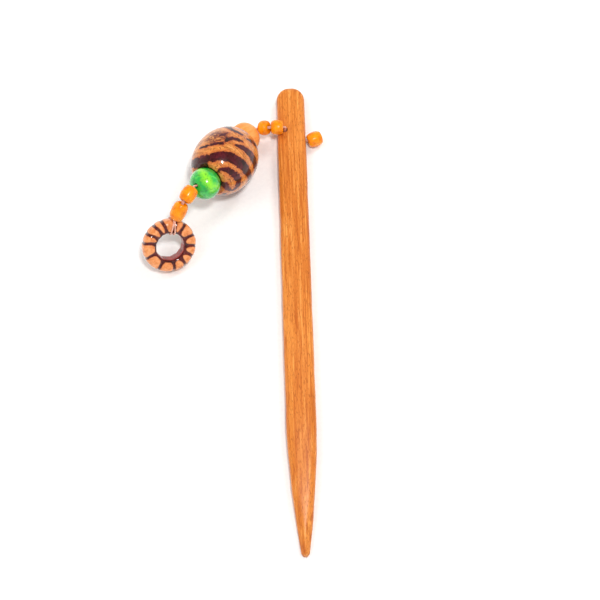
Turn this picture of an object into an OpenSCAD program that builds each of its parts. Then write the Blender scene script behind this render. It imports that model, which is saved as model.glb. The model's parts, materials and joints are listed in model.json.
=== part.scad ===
// Decorative hair pin: a tapered wooden stick with a beaded dangle tied through its head.
// The stick lies flat on z = 0 along Y, with its head towards +Y. The origin is at the middle of its back.

/* [Stick] */
// Length from the blunt tip to the top of the head
stick_l = 153; // [135:1:180]
// Width of the straight part
stick_w = 9.2; // [8.6:0.1:10]
// Thickness
stick_t = 5.0; // [4.8:0.1:5.4]
// Radius of the long edges
edge_r = 2.3; // [1.2:0.1:2.3]
// Length of the rounded head
head_l = 4.6; // [4:0.2:9]
// Length of the taper towards the tip
taper_l = 41.5; // [30:0.5:60]
// Width of the blunt tip
tip_w = 2.2; // [1.6:0.1:3.6]
// Thickness of the blunt tip
tip_t = 2.4; // [1.8:0.1:3.6]
// Diameter of the slanted hole for the thread
hole_d = 1.8; // [1.6:0.1:2.2]

/* [Small barrel beads] */
// Greatest diameter of a barrel bead
barrel_d = 4.8; // [4.2:0.1:4.9]
// Diameter of the flat at each end of a barrel bead
barrel_end_d = 2.4; // [1.8:0.1:2.4]
// Length of the stop bead outside the right of the head
stop_l = 4.7; // [4:0.1:4.8]
// Length of the bead next to the head
near_l = 3.95; // [3.65:0.05:3.95]
// Length of the second bead
second_l = 3.3; // [2.9:0.1:3.3]
// Length of the third bead, past the green one
third_l = 5.1; // [4.6:0.1:5.1]
// Length of the last bead, above the ring
last_l = 5.8; // [5:0.1:5.8]
// Bore of every small bead
bead_bore_d = 1.5; // [1.4:0.1:1.6]
// Width of the pocket that hides the end knot in the stop bead
pocket_d = 1.8; // [1.8:0.1:2]

/* [Round beads] */
// Diameter of the tan bead
tan_d = 9.8; // [9.2:0.1:9.8]
// Diameter of the green bead
green_d = 10; // [9.2:0.1:10]
// Height of a round bead along its bore, as a share of its diameter
round_squash = 0.92; // [0.85:0.01:0.94]

/* [Patterned bead] */
// Greatest diameter of the large barrel bead
large_d = 20; // [18:0.1:20.2]
// Length of the large bead between its flat ends
large_l = 20.2; // [19:0.1:20.4]
// Long axis of the ellipse that its outline follows
large_curve_l = 24.2; // [23:0.1:26]
// Diameter of the bore of the large bead
large_bore_d = 6.6; // [6.6:0.1:6.8]

/* [Ring] */
// Outside diameter
ring_d = 17; // [16:0.1:17.2]
// Diameter of the hole
ring_hole_d = 8.8; // [8.6:0.1:9.6]
// Thickness
ring_t = 4.6; // [4:0.1:4.6]

/* [Thread] */
// Diameter of the doubled thread inside the beads
thread_d = 0.9; // [0.7:0.1:1]
// Diameter of one strand, where it loops around the ring
strand_d = 0.6; // [0.5:0.1:0.7]
// Diameter of the end knot
knot_d = 1.6; // [1.4:0.1:1.6]

/* [Hidden] */

$fn = 64;
bend_reach = 0.35;   // a bend in the thread starts this far from its corner
bend_steps = 4;      // rings of the thread's tube around one bend
thread_sides = 12;   // sides of the thread's tube
join = 0.2;          // gap between two stretches of thread, around the pivot
tail = 0.4;          // how far a stretch of thread runs on past its last bend
near_gap = 0.8;      // from the bend in the thread to the start of each barrel bead
second_gap = 0.3;
third_gap = 0.5;
last_gap = 0.45;
large_shift = 0.4;   // how much further the large bead reaches over the green bead than the tan one
swing_gap = 0.3;     // from the tan bead to the thread that swings around it
nest_gap = 0.15;     // between a round bead and the socket that it nests in
loop_ease = 0.36;    // the loop's room around the ring, which is widest at the corners of its section
loop_gap = 0.3;      // from the end of the thread to the bend where the loop starts
pocket_l = 1.6;      // depth of the pocket for the end knot
cut = 1;             // a cutting tool runs past the surface by this much
taper_power = 1.8;   // how full the sides of the taper are
barrel_power = 2.3;  // how square the side of a small barrel bead is
ring_power = 2.5;    // how square the outer half of the ring's section is
eye_power = 4;       // how square its inner half is
outline_steps = 12;  // points on the curved stretches of an outline
barrel_steps = 10;   // points from the end of a small bead to its middle
large_steps = 16;    // points along the side of the large bead

head_y = stick_l / 2;
tip_y = -stick_l / 2;

// Points on the thread's route, from the end knot to the ring
mouth_right = [stick_w / 2, 57.6, 2.45];
mouth_left = [-2.1, 60.9, 5.0];
stop_c = [7.4, 58.2, 2.45];
bend_a = [-1.8, 60.5, 7.15];
bend_ab = [-7.0, 60.55, 7.2];
bend_b = [-10.6, 61.35, 5.3];
tan_c = [-14.95, 58.45, 4.95];
green_c = [-27.35, 37.65, 15.75];
bend_c = [-30.45, 35.1, 19.5];
bend_cd = [-33.85, 30.2, 18.8];
bend_d = [-36.85, 26.35, 14.6];
ring_c = [-39.35, 20.9, 7.45];
ring_axis = unit([0.330, -0.666, 0.670]);
ring_top = unit([0.195, 0.742, 0.642]);

stop_dir = unit([0.947, 0.321, 0]);
near_dir = unit(bend_ab - bend_a);
second_dir = unit(bend_b - bend_ab);
tan_dir = unit(tan_c - bend_b);
large_dir = unit(green_c - tan_c);
large_c = (tan_c + green_c) / 2 + large_shift * large_dir;
green_dir = unit(bend_c - green_c);
third_dir = unit(bend_cd - bend_c);
last_dir = unit(bend_d - bend_cd);

band_r = (ring_d + ring_hole_d) / 4;      // from the ring's axis to the middle of its band
band_w = (ring_d - ring_hole_d) / 2;
band_c = ring_c + band_r * ring_top;
loop_r = ring_t / 2 + strand_d / 2 + loop_ease; // the thread's loop around the band
tan_end = tan_d / 2 * round_squash;       // from the middle of a round bead to the end of its bore
green_end = green_d / 2 * round_squash;

function unit(v) = v / norm(v);

// The point that lies a distance from a, towards b
function onward(a, b, distance) = a + distance * unit(b - a);

// Lays a shape that stands on +Z along a direction at a place
module aim(place, dir) {
    translate(place)
        rotate([0, acos(dir[2]), atan2(dir[1], dir[0])])
            children();
}

// A route with each corner rounded off as a short arc
function rounded_route(points) =
    let (last = len(points) - 1)
        concat([points[0]],
               [for (i = [1 : 1 : last - 1], step = [0 : bend_steps])
                   let (t = step / bend_steps,
                        before = points[i] + bend_reach * unit(points[i - 1] - points[i]),
                        after = points[i] + bend_reach * unit(points[i + 1] - points[i]))
                       pow(1 - t, 2) * before + 2 * t * (1 - t) * points[i] + pow(t, 2) * after],
               [points[last]]);

// The thread's direction at one point of a route
function heading(route, i) =
    unit(route[min(i + 1, len(route) - 1)] - route[max(i - 1, 0)]);

// A thread through a list of points: one tube with flat ends
module thread(points, d) {
    route = rounded_route(points);
    count = len(route);
    rings = [for (i = [0 : count - 1])
        let (t = heading(route, i), across = unit(cross(t, [0, 0, 1])), up = cross(across, t))
            for (k = [0 : thread_sides - 1])
                let (a = 360 * k / thread_sides)
                    route[i] + d / 2 * (cos(a) * across + sin(a) * up)];
    sides = [for (i = [0 : count - 2], k = [0 : thread_sides - 1])
        let (next = (k + 1) % thread_sides, low = i * thread_sides, high = low + thread_sides)
            [low + k, high + k, high + next, low + next]];
    start = [for (k = [0 : thread_sides - 1]) k];
    end = [for (k = [thread_sides - 1 : -1 : 0]) (count - 1) * thread_sides + k];
    polyhedron(points = rings, faces = concat([start, end], sides), convexity = 4);
}

// Half the width of the stick at a distance s into the taper
function taper_half(s, full, tip) =
    full - (full - tip) * pow(s / taper_l, taper_power);

// One side of a tapered outline: the head's quarter ellipse, then the taper
function side_points(full, tip) = concat(
    [for (i = [0 : outline_steps])
        let (a = 90 * i / outline_steps)
            [full * sin(a), head_y - head_l + head_l * cos(a)]],
    [for (i = [0 : outline_steps])
        let (s = taper_l * i / outline_steps)
            [taper_half(s, full, tip), tip_y + taper_l - s]]);

module tapered_outline(full, tip) {
    points = side_points(full, tip);
    count = len(points);
    polygon(concat(points, [for (i = [count - 1 : -1 : 1]) [-points[i][0], points[i][1]]]));
}

// Outline from the side: flat at the back, rounded at the head, and falling towards the tip at the front
module side_outline() {
    head = [for (i = [-outline_steps : outline_steps])
        let (a = 90 * i / outline_steps)
            [head_y - edge_r + edge_r * cos(a),
             (i < 0 ? edge_r : stick_t - edge_r) + edge_r * sin(a)]];
    front = [for (i = [0 : outline_steps])
        let (s = taper_l * i / outline_steps)
            [tip_y + taper_l - s, taper_half(s, stick_t, tip_t)]];
    polygon(concat([[tip_y, 0]], head, front));
}

module stick_section() {
    hull()
        for (x = [-1, 1], y = [-1, 1])
            translate([x * (stick_w / 2 - edge_r), stick_t / 2 + y * (stick_t / 2 - edge_r)])
                circle(r = edge_r);
}

module stick_blank() {
    intersection() {
        translate([0, head_y, 0]) rotate([90, 0, 0]) linear_extrude(stick_l) stick_section();
        linear_extrude(stick_t) tapered_outline(stick_w / 2, tip_w / 2);
        translate([-stick_w / 2, 0, 0])
            rotate([90, 0, 90]) linear_extrude(stick_w) side_outline();
    }
}

module stick() {
    along = unit(mouth_left - mouth_right);
    color("peru")
        difference() {
            stick_blank();
            aim(mouth_right - cut * along, along)
                cylinder(h = norm(mouth_left - mouth_right) + 2 * cut, d = hole_d);
        }
}

// Side of a small barrel bead: flat ends, full middle
function barrel_side(length) = [
    for (i = [-barrel_steps : barrel_steps])
        let (s = sin(90 * i / barrel_steps))
            [barrel_end_d / 2 + (barrel_d - barrel_end_d) / 2
                * pow(1 - pow(abs(s), barrel_power), 1 / barrel_power),
             length / 2 * s]];

module barrel_bead(place, dir, length) {
    aim(place, dir)
        rotate_extrude()
            polygon(concat([[bead_bore_d / 2, -length / 2]],
                           barrel_side(length),
                           [[bead_bore_d / 2, length / 2]]));
}

// A round bead is a little flat at its ends, where its bore comes out
module round_bead(place, dir, d) {
    top = acos(bead_bore_d / d);
    aim(place, dir)
        rotate_extrude()
            polygon([for (i = [-large_steps : large_steps])
                let (a = top * i / large_steps)
                    [d / 2 * cos(a), d / 2 * round_squash * sin(a)]]);
}

module stop_bead() {
    color("orange")
        difference() {
            barrel_bead(stop_c, stop_dir, stop_l);
            aim(stop_c + (stop_l / 2 - pocket_l) * stop_dir, stop_dir)
                cylinder(h = pocket_l + cut, d = pocket_d);
        }
}

module near_bead() {
    color("orange") barrel_bead(onward(bend_a, bend_ab, near_gap + near_l / 2), near_dir, near_l);
}

module second_bead() {
    color("orange") barrel_bead(onward(bend_ab, bend_b, second_gap + second_l / 2), second_dir, second_l);
}

module third_bead() {
    color("orange") barrel_bead(onward(bend_c, bend_cd, third_gap + third_l / 2), third_dir, third_l);
}

module last_bead() {
    color("orange") barrel_bead(onward(bend_cd, bend_d, last_gap + last_l / 2), last_dir, last_l);
}

module tan_bead() {
    color("sandybrown") round_bead(tan_c, tan_dir, tan_d);
}

module green_bead() {
    color("limegreen") round_bead(green_c, green_dir, green_d);
}

// The large bead: an elliptical side, cut flat at the ends, with a socket around each round bead
function large_side() = [
    for (i = [-large_steps : large_steps])
        let (z = large_l / 2 * i / large_steps)
            [large_d / 2 * sqrt(1 - pow(2 * z / large_curve_l, 2)), z]];

module patterned_bead() {
    nest = max(tan_d, green_d) / 2 + nest_gap;
    color("saddlebrown")
        difference() {
            aim(large_c, large_dir)
                rotate_extrude()
                    polygon(concat([[large_bore_d / 2, -large_l / 2]],
                                   large_side(),
                                   [[large_bore_d / 2, large_l / 2]]));
            for (place = [tan_c, green_c])
                translate(place) sphere(r = nest);
        }
}

// Section of the ring's band: rounded outside, and nearly straight towards the eye
module band_section() {
    steps = 4 * outline_steps;
    polygon([for (i = [0 : steps - 1])
        let (a = 360 * i / steps, c = cos(a), s = sin(a), power = c > 0 ? ring_power : eye_power)
            [band_r + band_w / 2 * sign(c) * pow(abs(c), 2 / power),
             ring_t / 2 * sign(s) * pow(abs(s), 2 / power)]]);
}

module ring() {
    color("chocolate") aim(ring_c, ring_axis) rotate_extrude() band_section();
}

module thread_loop() {
    color("pink")
        aim(band_c, unit(cross(ring_axis, ring_top)))
            rotate_extrude() translate([loop_r, 0]) circle(d = strand_d);
}

module stick_thread() {
    knot_side = stop_c + (stop_l / 2 - pocket_l) * stop_dir;
    color("pink")
        thread([knot_side, mouth_right, mouth_left, bend_a, onward(bend_a, bend_ab, tail)], thread_d);
}

module end_knot() {
    color("pink")
        translate(stop_c + (stop_l / 2 - pocket_l + knot_d / 2) * stop_dir)
            sphere(d = knot_d);
}

module thread_a() {
    color("pink")
        thread([onward(bend_a, bend_ab, tail + join), bend_ab, onward(bend_ab, bend_b, tail)], thread_d);
}

module thread_b() {
    color("pink")
        thread([onward(bend_ab, bend_b, tail + join), bend_b, tan_c + tan_end * tan_dir], thread_d);
}

// The stretch inside the large bead, then straight through the green bead
module thread_c() {
    color("pink")
        thread([tan_c + (tan_end + swing_gap) * tan_dir, green_c - green_end * green_dir, bend_c,
                onward(bend_c, bend_cd, tail)], thread_d);
}

module thread_d() {
    color("pink")
        thread([onward(bend_c, bend_cd, tail + join), bend_cd, onward(bend_d, bend_cd, loop_gap)],
               thread_d);
}

stick();
stick_thread();
end_knot();
stop_bead();
thread_a();
near_bead();
thread_b();
second_bead();
tan_bead();
thread_c();
patterned_bead();
green_bead();
thread_d();
third_bead();
last_bead();
thread_loop();
ring();
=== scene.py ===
"""The looks of a wooden hair pin with a dangle of beads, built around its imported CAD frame."""

import json
import math

import bmesh
import bpy
import numpy as np
from mathutils import Matrix, Quaternion, Vector


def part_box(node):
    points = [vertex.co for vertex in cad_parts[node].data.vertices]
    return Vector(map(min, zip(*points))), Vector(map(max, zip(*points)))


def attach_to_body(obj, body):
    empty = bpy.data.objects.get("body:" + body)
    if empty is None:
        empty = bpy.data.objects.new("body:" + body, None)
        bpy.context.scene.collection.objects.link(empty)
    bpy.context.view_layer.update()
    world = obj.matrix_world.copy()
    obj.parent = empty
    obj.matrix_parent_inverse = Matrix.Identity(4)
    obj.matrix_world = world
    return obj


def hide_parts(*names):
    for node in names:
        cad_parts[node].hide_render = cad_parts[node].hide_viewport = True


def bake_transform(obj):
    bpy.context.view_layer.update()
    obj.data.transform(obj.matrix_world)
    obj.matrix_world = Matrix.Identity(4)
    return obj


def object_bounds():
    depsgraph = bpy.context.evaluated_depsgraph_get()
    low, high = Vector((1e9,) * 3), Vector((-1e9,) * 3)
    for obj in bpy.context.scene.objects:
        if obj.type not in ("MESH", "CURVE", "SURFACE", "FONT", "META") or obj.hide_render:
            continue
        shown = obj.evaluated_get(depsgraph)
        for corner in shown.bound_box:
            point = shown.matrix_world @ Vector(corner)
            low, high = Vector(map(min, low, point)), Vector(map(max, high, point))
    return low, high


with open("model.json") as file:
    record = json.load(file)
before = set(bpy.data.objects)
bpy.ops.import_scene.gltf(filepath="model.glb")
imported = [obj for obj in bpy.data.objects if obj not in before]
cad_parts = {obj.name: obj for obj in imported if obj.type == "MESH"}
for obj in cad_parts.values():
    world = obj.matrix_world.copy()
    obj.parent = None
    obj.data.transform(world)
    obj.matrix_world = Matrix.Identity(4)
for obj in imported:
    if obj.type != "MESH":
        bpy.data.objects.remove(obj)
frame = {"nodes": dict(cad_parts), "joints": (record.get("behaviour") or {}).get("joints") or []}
cad_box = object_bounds()

MM = 0.001
RNG = np.random.default_rng(7)
JOINTS = {j["name"]: j for j in frame["joints"]}

# The camera's place: over the table, looking along the stick from its tip
VIEW_TARGET = Vector((0.88, 3.87, 0.0)) * MM
VIEW_ELEVATION = math.radians(70)
VIEW_ROLL = math.radians(1.97)
VIEW_DISTANCE = 0.450
VIEW_BACK = Vector((0, -math.cos(VIEW_ELEVATION), math.sin(VIEW_ELEVATION)))

# The stick's outline, as in part.scad, in mm
HEAD_LENGTH = 4.6
EDGE_RADIUS = 2.3
TAPER_LENGTH = 41.5
TAPER_POWER = 1.8
TIP_WIDTH = 2.2
TIP_THICKNESS = 2.4
HOLE_DIAMETER = 1.8

# Marks of hand work on the stick, in mm
TIP_BLUNT = 1.2         # how far back the blunt tip is rounded
RIDGE_START = 4.0       # the front is a full ridge from the tip's end to here
RIDGE_LENGTH = 21.0     # and the ridge has faded into the flat shaft here
HEAD_NARROWING = 0.02   # share of the width

# The thread's route between the joints' pivots, in mm. It follows part.scad, but for HOLE_TURN: the hole
# turns there towards the front, inside the stick, so it doesn't break out as a long slot. HOLE_LEFT is
# 0.1 mm nearer to the tip than in part.scad for the same reason.
HOLE_RIGHT = (4.6, 57.6, 2.45)
HOLE_TURN = (-2.0, 60.6, 2.7)
HOLE_LEFT = (-2.1, 60.8, 5.0)
BEND_A = (-1.8, 60.5, 7.15)
BEND_AB = (-7.0, 60.55, 7.2)
BEND_B = (-10.6, 61.35, 5.3)
BEND_C = (-30.45, 35.1, 19.5)
BEND_CD = (-33.85, 30.2, 18.8)
BEND_D = (-36.85, 26.35, 14.6)

# The beads, in mm. The sizes are those of part.scad; the two powers are a little fuller than there.
BORE = 0.75             # radius of a small or round bead's bore
BARREL_END = 1.2        # radius of the flat at a barrel bead's end
BARREL_POWER = 2.45     # how square its side is
POCKET_DEPTH = 1.6      # the stop bead's pocket for the knot
POCKET_RADIUS = 0.9
LARGE_CURVE = 24.2      # long axis of the curve that the large bead's side follows
LARGE_POWER = 2.12      # how square that curve is
LARGE_BORE = 3.3        # radius of the large bead's bore
NEST_RADIUS = 5.15      # radius of its sockets, in which the round beads nest

STRAND = 0.235          # radius of one strand of the doubled thread


# ---------------------------------------------------------------- camera, light and floor

def add_object(name, data):
    made = bpy.data.objects.new(name, data)
    bpy.context.scene.collection.objects.link(made)
    return made


def make_camera():
    data = bpy.data.cameras.new("camera")
    data.lens = 86.4
    data.sensor_width = 36
    data.clip_start = 0.01
    data.clip_end = 20
    camera = add_object("camera", data)
    camera.location = VIEW_TARGET + VIEW_BACK * VIEW_DISTANCE
    camera.rotation_mode = "QUATERNION"
    look = (-VIEW_BACK).to_track_quat("-Z", "Y")
    camera.rotation_quaternion = look @ Quaternion((0, 0, 1), -VIEW_ROLL)
    bpy.context.scene.camera = camera


def softbox(name, direction, distance, size, watts, colour=(1, 1, 1)):
    """A round area light that faces the middle of the pin."""
    data = bpy.data.lights.new(name, "AREA")
    data.shape = "DISK"
    data.size = size
    data.energy = watts
    data.color = colour
    lamp = add_object(name, data)
    toward = Vector(direction).normalized()
    lamp.location = VIEW_TARGET + toward * distance
    lamp.rotation_mode = "QUATERNION"
    lamp.rotation_quaternion = (-toward).to_track_quat("-Z", "Y")
    return lamp


def make_lights():
    """Only the top light shows in the gloss, as one small highlight."""
    softbox("top_light", (0.12, -0.15, 0.98), 0.55, 0.075, 1.35)
    key = softbox("key_light", (0.50, 0.55, 0.80), 0.70, 0.22, 1.35, (1.0, 0.985, 0.96))
    fill = softbox("fill_light", (-0.60, 0.10, 0.90), 0.70, 0.45, 1.35)
    key.visible_glossy = False
    fill.visible_glossy = False
    make_world()


def make_world():
    """A white studio that is bright round the horizon and dim overhead, so dark lacquer stays dark."""
    world = bpy.data.worlds.new("studio")
    world.use_nodes = True
    tree = world.node_tree
    background = tree.nodes["Background"]
    background.inputs["Color"].default_value = (1.0, 1.0, 1.0, 1.0)
    direction = tree.nodes.new("ShaderNodeTexCoord")
    split = tree.nodes.new("ShaderNodeSeparateXYZ")
    fade = tree.nodes.new("ShaderNodeMapRange")
    fade.inputs["From Min"].default_value = 0.25
    fade.inputs["From Max"].default_value = 0.85
    fade.inputs["To Min"].default_value = 0.80
    fade.inputs["To Max"].default_value = 0.28
    tree.links.new(direction.outputs["Generated"], split.inputs["Vector"])
    tree.links.new(split.outputs["Z"], fade.inputs["Value"])
    tree.links.new(fade.outputs["Result"], background.inputs["Strength"])
    bpy.context.scene.world = world
    bpy.context.scene.view_settings.view_transform = "Standard"


# ---------------------------------------------------------------- materials

def rgb(red, green, blue):
    """A screen colour, 0 to 255, as the linear colour that a shader takes."""
    def linear(value):
        value = value / 255
        return value / 12.92 if value <= 0.04045 else ((value + 0.055) / 1.055) ** 2.4
    return (linear(red), linear(green), linear(blue), 1.0)


class Paint:
    """One material, built node by node around its Principled shader."""

    def __init__(self, name):
        self.material = bpy.data.materials.new(name)
        self.material.use_nodes = True
        self.tree = self.material.node_tree
        self.shader = self.tree.nodes["Principled BSDF"]
        coords = self.tree.nodes.new("ShaderNodeTexCoord")
        self.mm = self.stretch(coords.outputs["Object"], (1000, 1000, 1000))

    def put(self, socket, value):
        if isinstance(value, bpy.types.NodeSocket):
            self.tree.links.new(value, socket)
        else:
            socket.default_value = value

    def set(self, **values):
        """Sets the shader's sockets; an underscore stands for a space."""
        for name, value in values.items():
            self.put(self.shader.inputs[name.replace("_", " ")], value)

    def stretch(self, vector, scale):
        node = self.tree.nodes.new("ShaderNodeMapping")
        self.put(node.inputs["Vector"], vector)
        node.inputs["Scale"].default_value = scale
        return node.outputs["Vector"]

    def noise(self, scale, detail=3.0, rough=0.5, warp=0.0, vector=None):
        """Noise whose features are about 1 / scale mm wide; scale may differ by axis."""
        if not isinstance(scale, tuple):
            scale = (scale, scale, scale)
        node = self.tree.nodes.new("ShaderNodeTexNoise")
        self.put(node.inputs["Vector"], self.stretch(vector or self.mm, scale))
        node.inputs["Scale"].default_value = 1.0
        node.inputs["Detail"].default_value = detail
        node.inputs["Roughness"].default_value = rough
        node.inputs["Distortion"].default_value = warp
        return node.outputs[0]

    def attribute(self, name):
        node = self.tree.nodes.new("ShaderNodeAttribute")
        node.attribute_name = name
        return node.outputs["Fac"]

    def math(self, kind, a, b=0.0, c=0.0):
        node = self.tree.nodes.new("ShaderNodeMath")
        node.operation = kind
        self.put(node.inputs[0], a)
        self.put(node.inputs[1], b)
        self.put(node.inputs[2], c)
        return node.outputs[0]

    def remap(self, value, low, high, to_low=0.0, to_high=1.0):
        node = self.tree.nodes.new("ShaderNodeMapRange")
        node.interpolation_type = "SMOOTHSTEP"
        self.put(node.inputs["Value"], value)
        node.inputs["From Min"].default_value = low
        node.inputs["From Max"].default_value = high
        node.inputs["To Min"].default_value = to_low
        node.inputs["To Max"].default_value = to_high
        return node.outputs["Result"]

    def ramp(self, value, *stops):
        """A colour ramp from (place, colour) stops."""
        node = self.tree.nodes.new("ShaderNodeValToRGB")
        self.put(node.inputs["Fac"], value)
        elements = node.color_ramp.elements
        while len(elements) < len(stops):
            elements.new(1.0)
        for element, (place, colour) in zip(elements, stops):
            element.position = place
            element.color = colour
        return node.outputs["Color"]

    def mix(self, share, a, b, blend="MIX"):
        node = self.tree.nodes.new("ShaderNodeMix")
        node.data_type = "RGBA"
        node.blend_type = blend
        self.put(node.inputs["Factor"], share)
        self.put([s for s in node.inputs if s.name == "A" and s.type == "RGBA"][0], a)
        self.put([s for s in node.inputs if s.name == "B" and s.type == "RGBA"][0], b)
        return [s for s in node.outputs if s.type == "RGBA"][0]

    def bump(self, height, depth_mm, strength=1.0, under=None):
        node = self.tree.nodes.new("ShaderNodeBump")
        self.put(node.inputs["Height"], height)
        node.inputs["Strength"].default_value = strength
        node.inputs["Distance"].default_value = depth_mm * MM
        if under is not None:
            self.put(node.inputs["Normal"], under)
        return node.outputs["Normal"]


def pin_wood():
    """Orange-brown wood with fine lengthwise grain under a satin varnish."""
    p = Paint("pin_wood")
    broad = p.noise((0.30, 0.018, 0.30), detail=4, rough=0.55, warp=0.5)
    grain = p.noise((1.5, 0.055, 1.5), detail=5, rough=0.62, warp=0.35)
    fibre = p.noise((7.0, 0.22, 7.0), detail=3, rough=0.6)
    pores = p.noise((5.0, 0.75, 5.0), detail=2, rough=0.5)
    base = p.ramp(broad, (0.30, rgb(206, 112, 36)), (0.50, rgb(224, 134, 52)),
                  (0.72, rgb(238, 152, 68)))
    streaks = p.remap(grain, 0.50, 0.64)
    base = p.mix(p.math("MULTIPLY", streaks, 0.75), base, rgb(182, 88, 20))
    lights = p.remap(grain, 0.46, 0.34)
    base = p.mix(p.math("MULTIPLY", lights, 0.60), base, rgb(255, 178, 92))
    dashes = p.remap(pores, 0.56, 0.66)
    base = p.mix(p.math("MULTIPLY", dashes, 0.60), base, rgb(150, 66, 14))
    base = p.mix(p.remap(fibre, 0.42, 0.66, 0.0, 0.40), base, rgb(190, 92, 26))
    p.set(Base_Color=base, Roughness=p.remap(fibre, 0.3, 0.7, 0.34, 0.46))
    p.set(Coat_Weight=0.2, Coat_Roughness=0.3, Specular_IOR_Level=0.25)
    relief = p.math("ADD", p.math("MULTIPLY", grain, 0.7), p.math("MULTIPLY", fibre, 0.3))
    p.set(Normal=p.bump(p.math("SUBTRACT", relief, p.math("MULTIPLY", dashes, 0.5)), 0.05, 0.55))
    return p.material


def orange_gloss():
    """Glossy opaque orange, a little uneven in depth."""
    p = Paint("orange_gloss")
    cloud = p.noise(0.55, detail=3, rough=0.5)
    speck = p.noise(3.2, detail=2)
    base = p.ramp(cloud, (0.32, rgb(232, 122, 0)), (0.50, rgb(244, 142, 0)), (0.70, rgb(250, 160, 10)))
    base = p.mix(p.remap(speck, 0.58, 0.72, 0.0, 0.40), base, rgb(222, 104, 0))
    p.set(Base_Color=base, Roughness=p.remap(speck, 0.3, 0.7, 0.20, 0.30))
    p.set(Coat_Weight=0.35, Coat_Roughness=0.12, Specular_IOR_Level=0.25)
    p.set(Subsurface_Weight=0.12, Subsurface_Scale=0.8 * MM, Subsurface_Radius=(1.0, 0.45, 0.12))
    p.set(Normal=p.bump(p.noise(0.9, detail=2), 0.05, 0.5))
    return p.material


def tan_wood():
    """Smooth dull tan-orange wood with faint growth rings across the bore."""
    p = Paint("tan_wood")
    rings = p.noise((0.5, 1.9, 0.14), detail=4, rough=0.6, warp=0.6)
    fleck = p.noise((4.5, 4.5, 0.9), detail=2)
    base = p.ramp(rings, (0.34, rgb(243, 142, 60)), (0.52, rgb(252, 162, 80)),
                  (0.72, rgb(255, 180, 104)))
    base = p.mix(p.remap(fleck, 0.58, 0.74, 0.0, 0.45), base, rgb(226, 120, 44))
    p.set(Base_Color=base, Roughness=p.remap(fleck, 0.3, 0.7, 0.42, 0.55))
    p.set(Coat_Weight=0.12, Coat_Roughness=0.35)
    p.set(Normal=p.bump(p.math("ADD", rings, p.math("MULTIPLY", fleck, 0.5)), 0.05, 0.5))
    return p.material


def ragged(p, value, wide, fine):
    """A painted edge: the depth inside a stroke, in mm, with an uneven outline."""
    soft = p.math("MULTIPLY", p.math("SUBTRACT", p.noise(0.95, detail=3, rough=0.6), 0.5), wide)
    crisp = p.math("MULTIPLY", p.math("SUBTRACT", p.noise(4.2, detail=2), 0.5), fine)
    return p.math("ADD", value, p.math("ADD", soft, crisp))


def striped_lacquer():
    """Dark brown strokes, dyed into tan wood under a thick clear lacquer."""
    p = Paint("striped_lacquer")
    bands = p.noise((0.14, 0.14, 0.85), detail=4, rough=0.6, warp=0.5)
    fleck = p.noise(1.6, detail=3, rough=0.6)
    tan = p.ramp(bands, (0.30, rgb(176, 96, 36)), (0.46, rgb(216, 134, 60)),
                 (0.62, rgb(236, 158, 84)), (0.78, rgb(240, 162, 104)))
    tan = p.mix(p.remap(fleck, 0.50, 0.72, 0.0, 0.65), tan, rgb(176, 98, 34))
    # thin curling lines in the tan, where the noise crosses its middle value
    curl = p.noise((0.30, 0.30, 0.95), detail=2, warp=1.6)
    hairline = p.remap(p.math("ABSOLUTE", p.math("SUBTRACT", curl, 0.5)), 0.035, 0.008)
    tan = p.mix(p.math("MULTIPLY", hairline, 0.80), tan, rgb(92, 34, 16))
    edge = ragged(p, p.attribute("ink"), 1.5, 0.40)
    ink = p.remap(edge, -0.30, -0.02)
    halo = p.math("MULTIPLY", p.remap(edge, -1.1, -0.3), 0.60)
    dark = p.ramp(p.noise(0.42, detail=4, rough=0.65, warp=0.4), (0.34, rgb(38, 6, 4)),
                  (0.48, rgb(62, 10, 10)), (0.60, rgb(82, 10, 26)), (0.74, rgb(112, 40, 26)))
    base = p.mix(halo, tan, rgb(196, 92, 40))
    blots = p.remap(p.noise(0.75, detail=4, rough=0.7, warp=1.2), 0.40, 0.54)
    stain = p.math("MULTIPLY", p.attribute("mottle"), blots)
    base = p.mix(p.math("MULTIPLY", stain, 0.92), base, rgb(98, 28, 20))
    base = p.mix(ink, base, dark)
    p.set(Base_Color=base, Roughness=p.remap(fleck, 0.3, 0.7, 0.26, 0.36))
    p.set(Coat_Weight=0.75, Coat_Roughness=0.05, Coat_IOR=1.5, Specular_IOR_Level=0.15)
    relief = p.math("ADD", p.math("MULTIPLY", ink, 0.6), p.noise(0.6, detail=2))
    p.set(Normal=p.bump(relief, 0.06, 0.35))
    return p.material


def green_gloss():
    """Glossy emerald with cloudy yellow-green swirls."""
    p = Paint("green_gloss")
    cloud = p.noise(0.42, detail=4, rough=0.6, warp=0.8)
    base = p.ramp(cloud, (0.30, rgb(0, 122, 42)), (0.44, rgb(6, 168, 58)), (0.58, rgb(30, 194, 62)),
                  (0.74, rgb(92, 214, 74)))
    edge = ragged(p, p.attribute("ink"), 2.3, 0.4)
    base = p.mix(p.remap(edge, -0.9, 0.75, 0.0, 0.92), base, rgb(150, 238, 44))
    spots = p.math("MULTIPLY", p.remap(p.noise(0.95, detail=3, rough=0.6), 0.58, 0.68), 0.7)
    base = p.mix(spots, base, rgb(0, 128, 30))
    p.set(Base_Color=base, Roughness=p.remap(cloud, 0.3, 0.7, 0.18, 0.26))
    p.set(Coat_Weight=0.9, Coat_Roughness=0.05, Coat_IOR=1.55)
    p.set(Subsurface_Weight=0.15, Subsurface_Scale=1.0 * MM, Subsurface_Radius=(0.4, 1.0, 0.3))
    p.set(Normal=p.bump(p.noise(0.7, detail=2), 0.05, 0.4))
    return p.material


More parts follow.
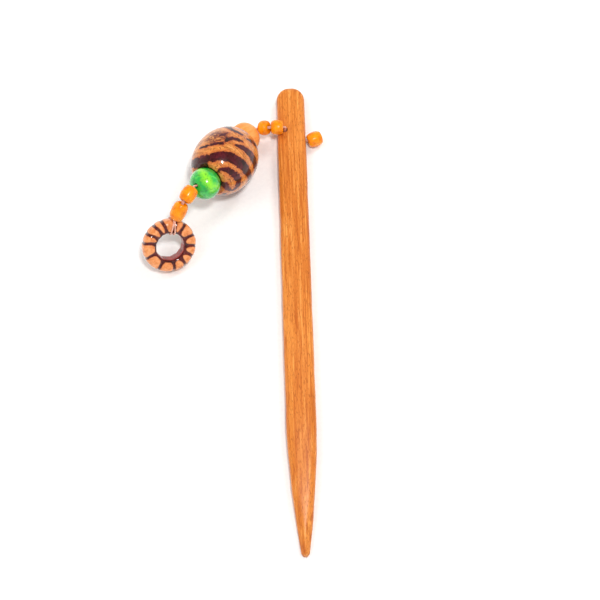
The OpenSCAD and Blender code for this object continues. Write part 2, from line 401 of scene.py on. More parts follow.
def carved_wood():
    """Tan lobes between dark lines, with a dark red inner wall, all under clear lacquer."""
    p = Paint("carved_wood")
    cloud = p.noise(0.75, detail=4, rough=0.6, warp=0.4)
    fleck = p.noise(2.6, detail=2)
    tan = p.ramp(cloud, (0.30, rgb(208, 114, 56)), (0.46, rgb(232, 144, 80)),
                 (0.62, rgb(246, 164, 104)), (0.80, rgb(252, 184, 134)))
    tan = p.mix(p.remap(fleck, 0.60, 0.76, 0.0, 0.45), tan, rgb(214, 116, 40))
    lines = ragged(p, p.attribute("ink"), 0.42, 0.20)
    ink = p.remap(lines, -0.12, 0.14)
    halo = p.math("MULTIPLY", p.remap(lines, -0.50, 0.0), 0.40)
    wall = p.ramp(p.noise(0.5, detail=3), (0.32, rgb(104, 26, 22)), (0.55, rgb(158, 48, 38)),
                  (0.75, rgb(196, 72, 56)))
    base = p.mix(halo, tan, rgb(212, 104, 54))
    inner = p.remap(ragged(p, p.attribute("wall"), 0.5, 0.2), -0.2, 0.25)
    base = p.mix(inner, base, wall)
    dark = p.ramp(p.noise(0.9, detail=3), (0.35, rgb(56, 4, 2)), (0.65, rgb(96, 16, 8)))
    base = p.mix(ink, base, dark)
    p.set(Base_Color=base, Roughness=p.remap(fleck, 0.3, 0.7, 0.26, 0.38))
    p.set(Coat_Weight=0.7, Coat_Roughness=0.08, Specular_IOR_Level=0.25)
    relief = p.math("ADD", p.math("MULTIPLY", ink, -0.5), p.noise(1.1, detail=2))
    p.set(Normal=p.bump(relief, 0.08, 0.45))
    return p.material


def thread_cord():
    """Pale pink waxed thread."""
    p = Paint("thread_cord")
    fuzz = p.noise(9.0, detail=3, rough=0.7)
    tint = p.noise(1.2, detail=2)
    base = p.ramp(tint, (0.32, rgb(226, 158, 134)), (0.52, rgb(242, 186, 162)),
                  (0.74, rgb(252, 212, 194)))
    base = p.mix(p.remap(fuzz, 0.35, 0.70, 0.0, 0.35), base, rgb(204, 126, 104))
    p.set(Base_Color=base, Roughness=p.remap(fuzz, 0.3, 0.7, 0.50, 0.72))
    p.set(Sheen_Weight=0.25, Sheen_Roughness=0.4)
    p.set(Normal=p.bump(fuzz, 0.05, 0.7))
    return p.material


def floor_paper():
    """White paper with a very faint tooth."""
    p = Paint("floor_paper")
    tooth = p.noise(0.8, detail=4, rough=0.6)
    p.set(Base_Color=p.ramp(tooth, (0.3, rgb(247, 247, 247)), (0.7, rgb(253, 253, 252))), Roughness=0.9)
    p.set(Specular_IOR_Level=0.1, Normal=p.bump(tooth, 0.02, 0.2))
    return p.material


# ---------------------------------------------------------------- mesh tools

def mesh_piece(name, points, faces, material, attributes=None):
    """An object from points in mm, smooth, with its faces turned outward."""
    mesh = bpy.data.meshes.new(name)
    mesh.from_pydata((np.asarray(points, float) * MM).tolist(), [], [list(map(int, f)) for f in faces])
    work = bmesh.new()
    work.from_mesh(mesh)
    bmesh.ops.recalc_face_normals(work, faces=work.faces)
    work.to_mesh(mesh)
    work.free()
    for label, values in (attributes or {}).items():
        layer = mesh.attributes.new(label, "FLOAT", "POINT")
        layer.data.foreach_set("value", np.asarray(values, np.float32))
    mesh.polygons.foreach_set("use_smooth", np.ones(len(mesh.polygons), bool))
    mesh.materials.append(material)
    return add_object(name, mesh)


def grid_faces(rows, columns, close_rows=False):
    """Quads between rings of points; each ring closes on itself."""
    last = rows if close_rows else rows - 1
    faces = []
    for i in range(last):
        low, high = i * columns, ((i + 1) % rows) * columns
        for j in range(columns):
            k = (j + 1) % columns
            faces.append((low + j, low + k, high + k, high + j))
    return faces


def attach(piece, body, node):
    """The piece moves with a body and stands for a CAD node, whose own mesh is hidden."""
    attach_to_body(piece, body)
    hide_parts(node)
    return piece


def cad_points(node):
    mesh = frame["nodes"][node].data
    flat = np.empty(len(mesh.vertices) * 3)
    mesh.vertices.foreach_get("co", flat)
    return flat.reshape(-1, 3) / MM


def measure(node, joint):
    """(middle, axis, length, radius) of a bead in mm, from its CAD node and its spin joint."""
    pivot = np.array(JOINTS[joint]["pos_m"]) / MM
    axis = np.array(JOINTS[joint]["axis"])
    axis = axis / np.linalg.norm(axis)
    away = cad_points(node) - pivot
    along = away @ axis
    across = np.linalg.norm(away - np.outer(along, axis), axis=1)
    middle = pivot + axis * (along.min() + along.max()) / 2
    return middle, axis, along.max() - along.min(), across.max()


def stand(piece, middle, axis, front=VIEW_BACK):
    """Places a piece that was made along +Z: its +Z on the axis, and its +X towards the front."""
    up = Vector(axis).normalized()
    side = (Vector(front) - up * Vector(front).dot(up)).normalized()
    turn = Matrix((side, up.cross(side), up)).transposed()
    piece.matrix_world = Matrix.Translation(Vector(middle) * MM) @ turn.to_4x4()


def lathe(name, profile, around, material, wobble=None, marks=None):
    """A turned solid from a closed (radius, height) profile in mm.

    wobble(angle, radius, height) gives the change of radius, and marks(angle, radius, height) the
    attributes, for arrays over every point."""
    profile = np.asarray(profile, float)
    angle = np.linspace(0, 2 * math.pi, around, endpoint=False)
    radius = np.repeat(profile[:, 0], around)
    height = np.repeat(profile[:, 1], around)
    turned = np.tile(angle, len(profile))
    moved = radius + (wobble(turned, radius, height) if wobble else 0)
    points = np.stack([moved * np.cos(turned), moved * np.sin(turned), height], 1)
    attributes = marks(turned, radius, height) if marks else None
    return mesh_piece(name, points, grid_faces(len(profile), around, True), material, attributes)


def rounded(points, reach, steps=5):
    """A closed profile with its listed corners rounded: points are (r, z, round or not)."""
    count = len(points)
    made = []
    for i in range(count):
        here = np.array(points[i][:2], float)
        if not points[i][2]:
            made.append(here)
            continue
        before = np.array(points[i - 1][:2], float)
        after = np.array(points[(i + 1) % count][:2], float)
        near = min(reach, np.linalg.norm(before - here) / 2)
        far = min(reach, np.linalg.norm(after - here) / 2)
        start = here + (before - here) / np.linalg.norm(before - here) * near
        end = here + (after - here) / np.linalg.norm(after - here) * far
        for t in np.linspace(0, 1, steps):
            made.append((1 - t) ** 2 * start + 2 * t * (1 - t) * here + t ** 2 * end)
    return np.array(made)


# ---------------------------------------------------------------- the stick

def smooth_step(value, low, high):
    t = np.clip((value - low) / (high - low), 0, 1)
    return t * t * (3 - 2 * t)


def tapered(y, full, tip, tip_y):
    """Half width or height of the stick at a height y: straight shaft, then the long taper."""
    s = max(0.0, TAPER_LENGTH - (y - tip_y))
    return full - (full - tip) * (s / TAPER_LENGTH) ** TAPER_POWER


def quarter(y, head_y, reach):
    """1 below the head, falling to 0 at its end as a quarter ellipse."""
    t = max(0.0, (y - head_y + reach) / reach)
    return math.sqrt(max(0.0, 1 - t * t))


def stick_points(low, high):
    """Rings of points along the stick, in mm, and the number in each ring."""
    around = 112
    head_y, tip_y = high.y, low.y
    shaft = np.linspace(tip_y + TIP_BLUNT, head_y - HEAD_LENGTH, 300, endpoint=False)
    tip = tip_y + TIP_BLUNT * (1 - np.cos(np.linspace(0.12, math.pi / 2, 9, endpoint=False)))
    head = head_y - HEAD_LENGTH + HEAD_LENGTH * np.sin(np.linspace(0, math.pi / 2 - 0.03, 26))
    angle = np.linspace(0, 2 * math.pi, around, endpoint=False)
    c, s = np.cos(angle), np.sin(angle)
    phase = RNG.uniform(0, 6.28, 4)
    rings = []
    for y in np.concatenate([tip, shaft, head]):
        full = high.x * (1 - HEAD_NARROWING * smooth_step(y, head_y - 34, head_y - 4))
        half = tapered(y, full, TIP_WIDTH / 2, tip_y) * quarter(y, head_y, HEAD_LENGTH)
        tall = tapered(y, high.z, TIP_THICKNESS, tip_y)
        nose = EDGE_RADIUS * (1 - quarter(y, head_y, EDGE_RADIUS))
        blunt = math.sqrt(max(0.0, 1 - (1 - min(1.0, (y - tip_y) / TIP_BLUNT)) ** 2))
        half, tall = half * (0.25 + 0.75 * blunt), tall * (0.35 + 0.65 * blunt)
        ridge = 1 - smooth_step(y, tip_y + RIDGE_START, tip_y + RIDGE_LENGTH)
        # the section is a squarish oval, whose front sharpens to a ridge towards the tip
        power = np.where(s > 0, 3.3 - 1.9 * ridge, 3.6)
        x = half * np.sign(c) * np.abs(c) ** (2 / power)
        z = nose + (tall / 2 - nose) * (1 + np.sign(s) * np.abs(s) ** (2 / power))
        # the sides and the front waver a little, as they do when sanded by hand
        wave = 0.035 * math.sin(y * 0.21 + phase[0]) + 0.02 * math.sin(y * 0.63 + phase[1])
        x = x * (1 + wave / 4.6) + 0.03 * math.sin(y * 0.33 + phase[2])
        z = z * (1 - 0.008 * (1 + math.sin(y * 0.27 + phase[3])))
        rings.append(np.stack([np.clip(x, -high.x, high.x), np.full(around, y), z], 1))
    return rings, around


def drill(stick, start, end, before, past):
    """Drills a round hole that starts before one point and runs past another, in mm."""
    start, end = Vector(start), Vector(end)
    along = (end - start).normalized()
    r = HOLE_DIAMETER / 2
    low, high = -before, (end - start).length + past
    profile = [(0.01, low), (r + 0.12, low), (r, low + 0.5), (r, high - 0.5), (r, high), (0.01, high)]
    cutter = lathe("hole_cutter", profile, 40, stick.data.materials[0])
    stand(cutter, start, along)
    cutting = stick.modifiers.new("drill", "BOOLEAN")
    cutting.operation = "DIFFERENCE"
    cutting.solver = "EXACT"
    cutting.object = cutter
    bpy.context.view_layer.update()
    graph = bpy.context.evaluated_depsgraph_get()
    drilled = bpy.data.meshes.new_from_object(stick.evaluated_get(graph))
    stick.modifiers.clear()
    stick.data = drilled
    bpy.data.objects.remove(cutter)


def make_stick(material):
    low, high = (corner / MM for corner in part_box("stick"))
    rings, around = stick_points(low, high)
    points = np.concatenate(rings)
    tip = points[:around].mean(0)
    head = points[-around:].mean(0)
    points = np.vstack([points, tip, head])
    faces = grid_faces(len(rings), around)
    first, last = len(points) - 2, len(points) - 1
    top = (len(rings) - 1) * around
    for j in range(around):
        k = (j + 1) % around
        faces.append((first, k, j))
        faces.append((last, top + j, top + k))
    stick = mesh_piece("stick_wood", points, faces, material)
    drill(stick, HOLE_RIGHT, HOLE_TURN, 1.2, 0.6)
    drill(stick, HOLE_TURN, HOLE_LEFT, 0.4, 1.5)
    stick.data.set_sharp_from_angle(angle=math.radians(38))
    return attach(stick, "stick", "stick")


# ---------------------------------------------------------------- beads

def barrel_profile(length, radius, pocket=0.0):
    """A barrel bead's closed profile: full sides, eased ends, and a bore with an optional pocket."""
    s = np.sin(np.linspace(-math.pi / 2, math.pi / 2, 57))
    bulge = (1 - np.abs(s) ** BARREL_POWER) ** (1 / BARREL_POWER)
    side = BARREL_END + (radius - BARREL_END) * bulge
    outer = [(r, z, False) for r, z in zip(side[1:-1], s[1:-1] * length / 2)]
    half = length / 2
    foot = [(BORE, -half, True), (BARREL_END, -half, True)]
    if pocket:
        deep = half - pocket
        inner = [(POCKET_RADIUS, half - 0.3, False), (POCKET_RADIUS, deep, True)]
        inner += [(BORE, z, False) for z in np.linspace(deep - 0.1, -half + 0.3, 6)]
        lip = [(BARREL_END + 0.02, half, True), (POCKET_RADIUS + 0.03, half, True)]
        return rounded(outer + lip + inner + foot, 0.10)
    inner = [(BORE, z, False) for z in np.linspace(half - 0.3, -half + 0.3, 7)]
    lip = [(BARREL_END, half, True), (BORE, half, True)]
    return rounded(outer + lip + inner + foot, 0.12)


def uneven(amount, seed):
    """Small bumps of a hand-finished bead, the same each run."""
    draw = np.random.default_rng(seed)
    phases = draw.uniform(0, 6.28, (5, 2))

    def wobble(angle, radius, height):
        total = np.zeros_like(angle)
        for k, (a, b) in enumerate(phases):
            total += np.sin((k + 1) * angle + a) * np.cos(height * (0.5 + 0.25 * k) + b) / (k + 1)
        return total * amount * np.clip((radius - 1.3) / 1.0, 0, 1)
    return wobble


def make_barrels(material):
    for seed, label in enumerate(("stop", "near", "second", "third", "last")):
        node = label + "_bead"
        middle, axis, length, radius = measure(node, label + "_spin")
        pocket = POCKET_DEPTH if label == "stop" else 0
        profile = barrel_profile(length, radius, pocket)
        bead = lathe("orange_" + node, profile, 96, material, uneven(0.028, 20 + seed))
        stand(bead, middle, axis)
        attach(bead, node, node)


def round_profile(length, radius):
    """A round bead, a little flattened at its bore."""
    tall = length / 2 / math.sqrt(1 - (BORE / radius) ** 2)
    start = math.acos((BORE + 0.10) / radius)
    a = np.linspace(-start, start, 90)
    outer = [(radius * math.cos(t), tall * math.sin(t), False) for t in a]
    half = length / 2
    inner = [(BORE, z, False) for z in np.linspace(half - 0.4, -half + 0.4, 9)]
    return rounded(outer + [(BORE, half, True)] + inner + [(BORE, -half, True)], 0.18)


def stroke_depth(across, along, strokes, mean_radius, half_length):
    """How deep inside the nearest painted stroke each point lies, in mm, and negative outside.

    A stroke is a list of (degrees around, share of the half length, half width in mm)."""
    best = np.full(across.shape, -9.0)
    for stroke in strokes:
        knots = np.array([(math.radians(a) * mean_radius, t * half_length, w) for a, t, w in stroke])
        for shift in (-360, 0, 360):
            u = across + math.radians(shift) * mean_radius
            for p, q in zip(knots[:-1], knots[1:]):
                run = q[:2] - p[:2]
                t = ((u - p[0]) * run[0] + (along - p[1]) * run[1]) / max(1e-6, run @ run)
                t = np.clip(t, 0, 1)
                gap = np.hypot(u - p[0] - t * run[0], along - p[1] - t * run[1])
                best = np.maximum(best, p[2] + t * (q[2] - p[2]) - gap)
    return best


def signed_degrees(angle):
    return (np.degrees(angle) + 180) % 360 - 180


# The large bead's painted strokes, each a list of (degrees around from the front, share of the half
# length, half width in mm)
LARGE_STROKES = (
    # the broad band
    ((-150, 0.02, 0.9), (-120, 0.0, 1.2), (-97, -0.04, 1.0), (-75, 0.17, 0.9), (-60, 0.28, 1.15),
     (-45, 0.37, 1.35), (-30, 0.46, 1.45), (-15, 0.55, 1.45), (0, 0.65, 1.3), (15, 0.80, 1.15),
     (30, 0.90, 0.9), (60, 0.95, 0.8), (90, 0.90, 0.9), (120, 0.72, 1.0), (150, 0.6, 0.5)),
    # the band above it
    ((-140, -0.46, 0.5), (-110, -0.38, 0.9), (-85, -0.27, 0.8), (-70, -0.22, 0.9), (-55, -0.18, 1.25),
     (-40, -0.13, 1.25), (-28, -0.07, 1.0), (-15, 0.02, 0.7), (-4, 0.12, 0.25)),
    ((-9, -0.19, 0.22), (0, -0.11, 0.5), (8, -0.04, 0.55), (13, 0.06, 0.6), (14, 0.18, 0.45)),
    ((23, -0.17, 0.3), (26, -0.05, 0.4), (31, 0.05, 0.25)),
    ((17, 0.33, 0.25), (28, 0.41, 0.4), (36, 0.50, 0.3), (48, 0.57, 0.3), (62, 0.58, 0.2)),
    # the arcs near the tan bead
    ((-68, -0.80, 0.5), (-55, -0.80, 0.6), (-42, -0.74, 0.75), (-30, -0.64, 0.65), (-20, -0.52, 0.7),
     (-14, -0.46, 0.35)),
    ((2, -0.44, 0.45), (14, -0.42, 0.6), (24, -0.45, 0.45), (34, -0.55, 0.9), (48, -0.68, 1.2),
     (66, -0.80, 1.1), (90, -0.84, 0.7), (120, -0.70, 0.8), (150, -0.55, 0.6), (180, -0.6, 0.3)),
    ((-5, -0.82, 0.2), (10, -0.78, 0.35), (26, -0.84, 0.2)),
    # the hook beside the green bead
    ((-14, 0.97, 0.4), (-25, 0.88, 0.55), (-38, 0.80, 0.7), (-52, 0.71, 0.75), (-66, 0.66, 0.7),
     (-82, 0.66, 0.6), (-95, 0.76, 0.5), (-90, 0.90, 0.5), (-76, 0.98, 0.55), (-62, 0.99, 0.3)),
    # the far side
    ((100, -0.35, 0.5), (125, -0.22, 1.1), (155, -0.12, 1.3), (185, -0.2, 1.0), (210, -0.15, 0.4)),
    ((95, 0.25, 0.4), (120, 0.2, 0.9), (150, 0.28, 1.2), (180, 0.36, 1.0), (215, 0.42, 0.9),
     (245, 0.38, 0.3)),
    ((150, 0.85, 0.5), (185, 0.78, 1.0), (220, 0.82, 0.8), (250, 0.9, 0.3)),
    ((160, -0.92, 0.5), (200, -0.84, 0.9), (240, -0.9, 0.6), (280, -0.84, 0.4)),
)
# The stained patch: middle, and half sizes, in degrees around and in share of the half length
STAIN = ((34, 0.12), (30, 0.40))
LARGE_MEAN_RADIUS = 9.0


def large_marks(angle, height, half_length):
    """The large bead's paint: depth inside its strokes, and share of stain."""
    degrees = signed_degrees(angle)
    share = height / half_length
    around = np.radians(degrees) * LARGE_MEAN_RADIUS
    ink = stroke_depth(around, height, LARGE_STROKES, LARGE_MEAN_RADIUS, half_length)
    (a, t), (da, dt) = STAIN
    patch = 1 - np.hypot((degrees - a) / da, (share - t) / dt)
    return {"ink": ink, "mottle": np.clip(patch * 2.2, 0, 1)}


def socket(middle, axis, half, joint):
    """(height where a round bead's socket meets the bore, radius of its mouth) in the large bead."""
    centre = (np.array(JOINTS[joint]["pos_m"]) / MM - middle) @ axis
    inward = -math.copysign(1, centre)
    meets = centre + inward * math.sqrt(NEST_RADIUS ** 2 - LARGE_BORE ** 2)
    mouth = math.sqrt(NEST_RADIUS ** 2 - (abs(centre) - half) ** 2)
    return meets, mouth


def make_large(material):
    middle, axis, length, radius = measure("patterned_bead", "patterned_spin")
    half = length / 2
    z = np.linspace(-half, half, 150)
    side = radius * (1 - np.abs(2 * z / LARGE_CURVE) ** LARGE_POWER) ** (1 / LARGE_POWER)
    outer = [(r, h, False) for r, h in zip(side[1:-1], z[1:-1])]
    low, low_mouth = socket(middle, axis, half, "tan_spin")
    high, high_mouth = socket(middle, axis, half, "green_spin")
    profile = [(side[0], -half, True)] + outer + [(side[-1], half, True)]
    profile += [(high_mouth, half, True), (LARGE_BORE, high, True)]
    profile += [(LARGE_BORE, h, False) for h in np.linspace(high - 0.4, low + 0.4, 16)]
    profile += [(LARGE_BORE, low, True), (low_mouth, -half, True)]
    profile = rounded(profile, 0.5, 7)

    def marks(angle, _, height):
        return large_marks(angle, height, half)
    bead = lathe("striped_bead", profile, 360, material, uneven(0.05, 31), marks)
    stand(bead, middle, axis)
    attach(bead, "patterned_bead", "patterned_bead")


GREEN_MEAN_RADIUS = 4.4
GREEN_STROKES = (
    ((78, 0.32, 0.4), (67, 0.42, 0.7), (45, 0.56, 0.8), (20, 0.66, 0.8), (0, 0.64, 0.8),
     (-24, 0.56, 0.7), (-46, 0.42, 0.4)),
    ((-32, -0.10, 0.2), (-30, 0.10, 0.4), (-26, 0.36, 0.5)),
    ((120, 0.3, 0.4), (150, 0.0, 0.9), (190, -0.25, 0.8), (230, -0.1, 0.4)),
    ((80, -0.5, 0.3), (130, -0.6, 0.7), (180, -0.5, 0.3)),
)


def make_round_beads(tan, green):
    middle, axis, length, radius = measure("tan_bead", "tan_spin")
    bead = lathe("tan_round_bead", round_profile(length, radius), 160, tan, uneven(0.035, 41))
    stand(bead, middle, axis)
    attach(bead, "tan_bead", "tan_bead")

    middle, axis, length, radius = measure("green_bead", "green_spin")

    def marks(angle, _, height):
        around = np.radians(signed_degrees(angle)) * GREEN_MEAN_RADIUS
        return {"ink": stroke_depth(around, height, GREEN_STROKES, GREEN_MEAN_RADIUS, length / 2)}
    profile = round_profile(length, radius)
    bead = lathe("green_round_bead", profile, 160, green, uneven(0.035, 43), marks)
    stand(bead, middle, axis)
    attach(bead, "green_bead", "green_bead")


# ---------------------------------------------------------------- the ring

# The ring's dark lines, in degrees clockwise from the thread
RING_LINES = (4, 24, 54, 81, 107, 133, 162, 202, 243, 279, 300, 321, 338)
LINE_LEAN = 6.0     # degrees that the lines at the sides drift towards the outer edge
LINE_WIDTH = 0.50   # half width of a line on the face, in mm
LIP = 137           # the dark border ends and the red wall is bare past this angle of the section
RING_POWER = 2.5    # how square the outer half of the ring's section is
EYE_POWER = 4.0     # how square its inner half is
EYE_TAPER = 0.15    # how much narrower the eye is at the back than at the front, in mm


def band_section(half_width, half_thick, beta):
    """(outward, along the axis) of the ring's section at angles beta, 0 at its outer edge."""
    c, s = np.cos(beta), np.sin(beta)
    power = np.where(c > 0, RING_POWER, EYE_POWER)
    out = np.sign(c) * np.abs(c) ** (2 / power)
    rise = np.sign(s) * np.abs(s) ** (2 / power)
    narrowing = EYE_TAPER * np.clip(-out, 0, 1) * (1 - rise) / 2
    return half_width * out - narrowing, half_thick * rise


def ring_frame():
    """(middle, axis, top, side, band radius) of the ring, in mm.

    top points from the middle to the thread, and side is a quarter turn clockwise from it."""
    spin, swing = JOINTS["ring_turn"], JOINTS["ring_swing"]
    middle = np.array(spin["pos_m"]) / MM
    axis = np.array(spin["axis"]) / np.linalg.norm(spin["axis"])
    out = np.array(swing["pos_m"]) / MM - middle
    top = out / np.linalg.norm(out)
    return middle, axis, top, np.cross(top, axis), np.linalg.norm(out)


def ring_sizes():
    """(radius of the band's middle line, half width of the band, half its thickness) in mm."""
    middle, axis, _, _, band = ring_frame()
    away = cad_points("ring") - middle
    along = away @ axis
    across = np.linalg.norm(away - np.outer(along, axis), axis=1)
    return band, across.max() - band, along.max()


def line_gap(turn, lean, radius):
    """How far the nearest dark line is, in mm, from points of the section at one turn of the ring."""
    gap = np.full(len(radius), 99.0)
    for line in RING_LINES:
        off = (turn - line - lean + 180) % 360 - 180
        gap = np.minimum(gap, np.abs(off) * math.pi / 180 * radius)
    return gap


def line_ink(gap, lip):
    """The depth inside the dark paint, in mm: lines on the face, and a border round the eye."""
    # a line widens where it runs down to the lip, so the tan ends in lobes there
    width = LINE_WIDTH + 0.55 * np.clip((lip - 88) / 30, 0, 1) ** 1.5
    border = 0.07 * (lip - 112) - 0.16 * np.minimum(gap, 2.0)
    return np.where(lip < LIP, np.maximum(width - gap, border), 0.07 * (150 - lip))


def carving(gap, inward):
    """How far the surface stands out, in mm: grooves along the lines, and full lobes between them."""
    groove = -0.17 * np.exp(-(gap / 0.45) ** 2) + 0.06 * np.clip(gap / 1.6, 0, 1)
    return groove * (0.35 + 0.65 * np.clip(1.2 - inward, 0, 1))


def make_ring(material):
    middle, axis, top, side, _ = ring_frame()
    band, half_width, half_thick = ring_sizes()
    around, section = 560, 150
    turn = np.linspace(0, 360, around, endpoint=False)
    beta = np.linspace(-180, 180, section, endpoint=False)
    b = np.radians(beta)
    c, s = np.cos(b), np.sin(b)
    out, rise = band_section(half_width, half_thick, b)
    inward = np.clip(-c, 0, 1)
    lip = np.abs(beta)
    points, ink, wall = [], [], []
    for a in turn:
        lean = LINE_LEAN * math.sin(math.radians(a)) * np.clip(c, 0, 1)
        gap = line_gap(a, lean, band + out)
        ink.append(line_ink(gap, lip))
        wall.append((lip - 130) * 0.06)
        relief = carving(gap, inward)
        r, h = band + out + relief * c, rise + relief * s
        rad = math.radians(a)
        points.append(np.stack([r * math.cos(rad), r * math.sin(rad), h], 1))
    points = np.concatenate(points)
    attributes = {"ink": np.concatenate(ink), "wall": np.concatenate(wall)}
    ring = mesh_piece("batik_ring", points, grid_faces(around, section, True), material, attributes)
    # made with +X at the thread and +Y clockwise from it, so the placing is left-handed
    turned = Matrix((Vector(top), Vector(side), Vector(axis))).transposed()
    ring.matrix_world = Matrix.Translation(Vector(middle) * MM) @ turned.to_4x4()
    mirror_to_world(ring)
    attach(ring, "ring", "ring")


def mirror_to_world(piece):
    """Bakes a left-handed placing into the mesh, and turns its faces outward again."""
    world = piece.matrix_world.copy()
    origin = world.translation.copy()
    piece.data.transform(Matrix.Translation(-origin) @ world)
    piece.matrix_world = Matrix.Translation(origin)
    work = bmesh.new()
    work.from_mesh(piece.data)
    bmesh.ops.recalc_face_normals(work, faces=work.faces)
    work.to_mesh(piece.data)
    work.free()


# ---------------------------------------------------------------- the thread

TAIL_IN_BEAD = 1.6      # the doubled thread ends this far inside the last bead, in mm
LEGS_IN_BEAD = 1.9      # and the loop's two strands start this far inside it
LEG_SPREAD = 0.62       # each strand of the loop lies this far from the middle, at most
LOOP_CLEAR = 0.10       # gap between the loop's strands and the ring


def vec(point):
    return np.array(point, float)


def onward(a, b, distance):
    """The point that lies a distance from a, towards b."""
    run = vec(b) - vec(a)
    return vec(a) + run / np.linalg.norm(run) * distance


def soft_route(points, reach, step=0.08):
    """A route with its corners rounded, as evenly spaced points."""
    points = [vec(p) for p in points]
    dense = [points[0]]
    for before, here, after in zip(points[:-2], points[1:-1], points[2:]):
        near = min(reach, np.linalg.norm(before - here) * 0.48)
        far = min(reach, np.linalg.norm(after - here) * 0.48)
        start, end = onward(here, before, near), onward(here, after, far)
        for t in np.linspace(0, 1, 14):
            dense.append((1 - t) ** 2 * start + 2 * t * (1 - t) * here + t ** 2 * end)
    dense.append(points[-1])
    return even(np.array(dense), step)


def even(points, step):
    """The same line at an even spacing."""
    gaps = np.linalg.norm(np.diff(points, axis=0), axis=1)
    length = np.concatenate([[0], np.cumsum(gaps)])
    places = np.linspace(0, length[-1], max(4, int(length[-1] / step)))
    return np.stack([np.interp(places, length, points[:, k]) for k in range(3)], 1)


def frames_along(route):
    """Tangents, and a pair of cross directions that don't twist."""
    tangent = np.gradient(route, axis=0)
    tangent /= np.linalg.norm(tangent, axis=1)[:, None]
    side = np.cross(tangent[0], (0.3, 0.2, 0.93))
    side /= np.linalg.norm(side)
    sides = []
    for t in tangent:
        side = side - t * (side @ t)
        side = side / np.linalg.norm(side)
        sides.append(side)
    sides = np.array(sides)
    return tangent, sides, np.cross(tangent, sides)


def strand_mesh(route, radius, pitch=1.5, plies=3, sides=18):
    """Points and faces of one twisted strand with round ends: its plies stand out along a helix."""
    _, side, up = frames_along(route)
    gaps = np.linalg.norm(np.diff(route, axis=0), axis=1)
    length = np.concatenate([[0], np.cumsum(gaps)])
    angle = np.linspace(0, 2 * math.pi, sides, endpoint=False)
    rings = []
    for i, place in enumerate(length):
        from_end = min(place, length[-1] - place)
        cap = math.sqrt(max(0.0, 1 - max(0.0, 1 - from_end / radius) ** 2))
        twist = 2 * math.pi * place / pitch
        r = radius * max(0.12, cap) * (0.86 + 0.14 * np.abs(np.cos(plies / 2 * (angle - twist))))
        across = np.outer(r * np.cos(angle), side[i])
        rings.append(route[i] + across + np.outer(r * np.sin(angle), up[i]))
    points = np.vstack(rings + [route[:1], route[-1:]])
    faces = grid_faces(len(route), sides)
    first, last = len(points) - 2, len(points) - 1
    top = (len(route) - 1) * sides
    for j in range(sides):
        k = (j + 1) % sides
        faces += [(first, k, j), (last, top + j, top + k)]
    return points, faces


def join_meshes(parts):
    points, faces, base = [], [], 0
    for p, f in parts:
        points.append(p)
        faces += [tuple(base + i for i in face) for face in f]
        base += len(p)
    return np.vstack(points), faces


def doubled(points, reach=0.9, pitch=7.0, phase=0.0):
    """The thread's two strands, laid side by side and turning slowly about each other."""
    route = soft_route(points, reach)
    _, side, up = frames_along(route)
    gaps = np.linalg.norm(np.diff(route, axis=0), axis=1)
    turn = phase + 2 * math.pi * np.concatenate([[0], np.cumsum(gaps)]) / pitch
    offset = side * np.cos(turn)[:, None] + up * np.sin(turn)[:, None]
    return join_meshes([strand_mesh(route + sign * offset * STRAND * 0.93, STRAND) for sign in (-1, 1)])


def pivot(joint):
    return vec(JOINTS[joint]["pos_m"]) / MM


def make_threads(material):
    stop, stop_axis, stop_length, _ = measure("stop_bead", "stop_spin")
    knot_side = stop + stop_axis * (stop_length / 2 - 1.7)
    pivots = [pivot(j) for j in ("dangle_swing", "dangle_lift", "middle_swing", "tail_lift")]
    green, green_axis, green_length, _ = measure("green_bead", "green_spin")
    tail_end = onward(BEND_D, BEND_CD, TAIL_IN_BEAD)
    rows = (
        ("cord_in_stick", "stick", "stick_thread",
         [knot_side, HOLE_RIGHT, HOLE_TURN, HOLE_LEFT, BEND_A, onward(pivots[0], BEND_AB, STRAND)]),
        ("cord_near", "string_a", "thread_a",
         [onward(pivots[0], BEND_A, STRAND), BEND_AB, onward(pivots[1], BEND_B, STRAND)]),
        ("cord_second", "string_b", "thread_b",
         [onward(pivots[1], BEND_AB, STRAND), BEND_B, onward(BEND_B, pivots[2], 6.4)]),
        ("cord_middle", "string_c", "thread_c",
         [onward(pivots[2], green, 5.2), green - green_axis * green_length / 2, BEND_C,
          onward(pivots[3], BEND_CD, STRAND)]),
        ("cord_tail", "string_d", "thread_d",
         [onward(pivots[3], BEND_C, STRAND), BEND_CD, tail_end]),
    )
    for k, (name, body, node, points) in enumerate(rows):
        piece = mesh_piece(name, *doubled(points, phase=0.7 * k + 0.6), material)
        attach(piece, body, node)


def make_knot(material):
    """The end knot: a small overhand knot of both strands, in the stop bead's pocket."""
    low, high = (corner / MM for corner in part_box("end_knot"))
    middle = (vec(low) + vec(high)) / 2
    room = (high.x - low.x) / 2
    t = np.linspace(0, 2 * math.pi, 161)
    trefoil = np.stack([np.sin(t) + 2 * np.sin(2 * t), np.cos(t) - 2 * np.cos(2 * t),
                        -1.3 * np.sin(3 * t)], 1)
    scale = (room - STRAND * 1.1) / np.linalg.norm(trefoil, axis=1).max()
    points, faces = strand_mesh(even(trefoil * scale, 0.05), STRAND * 1.05, pitch=1.2)
    axis = Vector(JOINTS["stop_spin"]["axis"])
    knot = mesh_piece("cord_knot", points, faces, material)
    stand(knot, middle, axis)
    attach(knot, "stick", "end_knot")


def hull_2d(points):
    """The convex outline of flat points, counter-clockwise."""
    ordered = sorted(map(tuple, points))

    def half(rows):
        chain = []
        for p in rows:
            while len(chain) > 1:
                a, b = chain[-2], chain[-1]
                if (b[0] - a[0]) * (p[1] - a[1]) - (b[1] - a[1]) * (p[0] - a[0]) > 0:
                    break
                chain.pop()
            chain.append(p)
        return chain[:-1]
    return np.array(half(ordered) + half(ordered[::-1]))


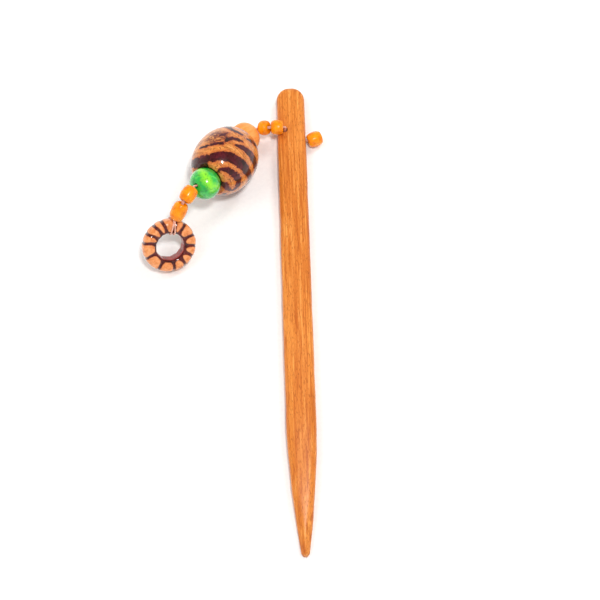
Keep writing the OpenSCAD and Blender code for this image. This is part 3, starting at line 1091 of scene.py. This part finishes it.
def loop_route(apex, start, spread, band_middle, out, normal, tangent, half_width, half_thick):
    """One strand's way: out of the last bead, down the ring's face, through its eye and back up.

    The section is drawn flat, with out and normal as its axes, and spread is along tangent."""
    clear = STRAND + LOOP_CLEAR
    b = np.radians(np.linspace(0, 360, 140, endpoint=False))
    section = np.stack(band_section(half_width + clear, half_thick + clear, b), 1)
    away = apex - band_middle
    peak = np.array([away @ out, away @ normal])
    outline = hull_2d(np.vstack([section, peak]))
    first = int(np.argmin(np.linalg.norm(outline - peak, axis=1)))
    outline = np.roll(outline, -first, axis=0)
    # the strand goes down the face, so the way round that meets the face first is taken
    if outline[1][1] < outline[-1][1]:
        outline = np.vstack([outline[:1], outline[:0:-1]])
    closed = np.vstack([outline, outline[:1]])
    gaps = np.linalg.norm(np.diff(closed, axis=0), axis=1)
    share = np.concatenate([[0], np.cumsum(gaps)]) / gaps.sum()
    # the strands part on the way down the face and close up again behind the ring
    parted = smooth_step(share, 0.0, 0.30) * (1 - 0.8 * smooth_step(share, 0.62, 1.0))
    spreading = spread * (0.22 + 0.78 * parted)
    way = band_middle + np.outer(closed[:, 0], out) + np.outer(closed[:, 1], normal)
    way = way + np.outer(spreading, tangent)
    drop = normal * 0.20
    way[0] = way[0] + drop
    way[-1] = way[-1] - drop - out * 0.1
    return np.vstack([start + drop * 0.8 + tangent * spreading[0], way,
                      start - drop * 0.8 + tangent * spreading[-1]])


def make_loop(material):
    """Two strands, one each side, looped around the ring below the last bead."""
    middle, axis, top, side, _ = ring_frame()
    band, half_width, half_thick = ring_sizes()
    band_middle = middle + top * band
    apex, start = vec(BEND_D), onward(BEND_D, BEND_CD, LEGS_IN_BEAD)
    parts = []
    for sign in (-1, 1):
        way = loop_route(apex, start, sign * LEG_SPREAD, band_middle, top, axis, side,
                         half_width, half_thick)
        parts.append(strand_mesh(even(way, 0.07), STRAND * 1.08))
    loop = mesh_piece("cord_loop", *join_meshes(parts), material)
    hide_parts("thread_loop")
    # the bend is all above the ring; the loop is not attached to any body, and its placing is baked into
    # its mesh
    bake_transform(loop)


def make_floor(material):
    """A broad sheet of paper under the pin."""
    count, size = 40, 3.0
    work = bmesh.new()
    bmesh.ops.create_grid(work, x_segments=count, y_segments=count, size=size / 2)
    mesh = bpy.data.meshes.new("floor")
    work.to_mesh(mesh)
    work.free()
    mesh.materials.append(material)
    floor = add_object("floor", mesh)
    floor.location.z = cad_box[0].z - 0.02 * MM


make_camera()
make_lights()
make_floor(floor_paper())
make_stick(pin_wood())
make_barrels(orange_gloss())
make_round_beads(tan_wood(), green_gloss())
make_large(striped_lacquer())
make_ring(carved_wood())
cord = thread_cord()
make_threads(cord)
make_knot(cord)
make_loop(cord)
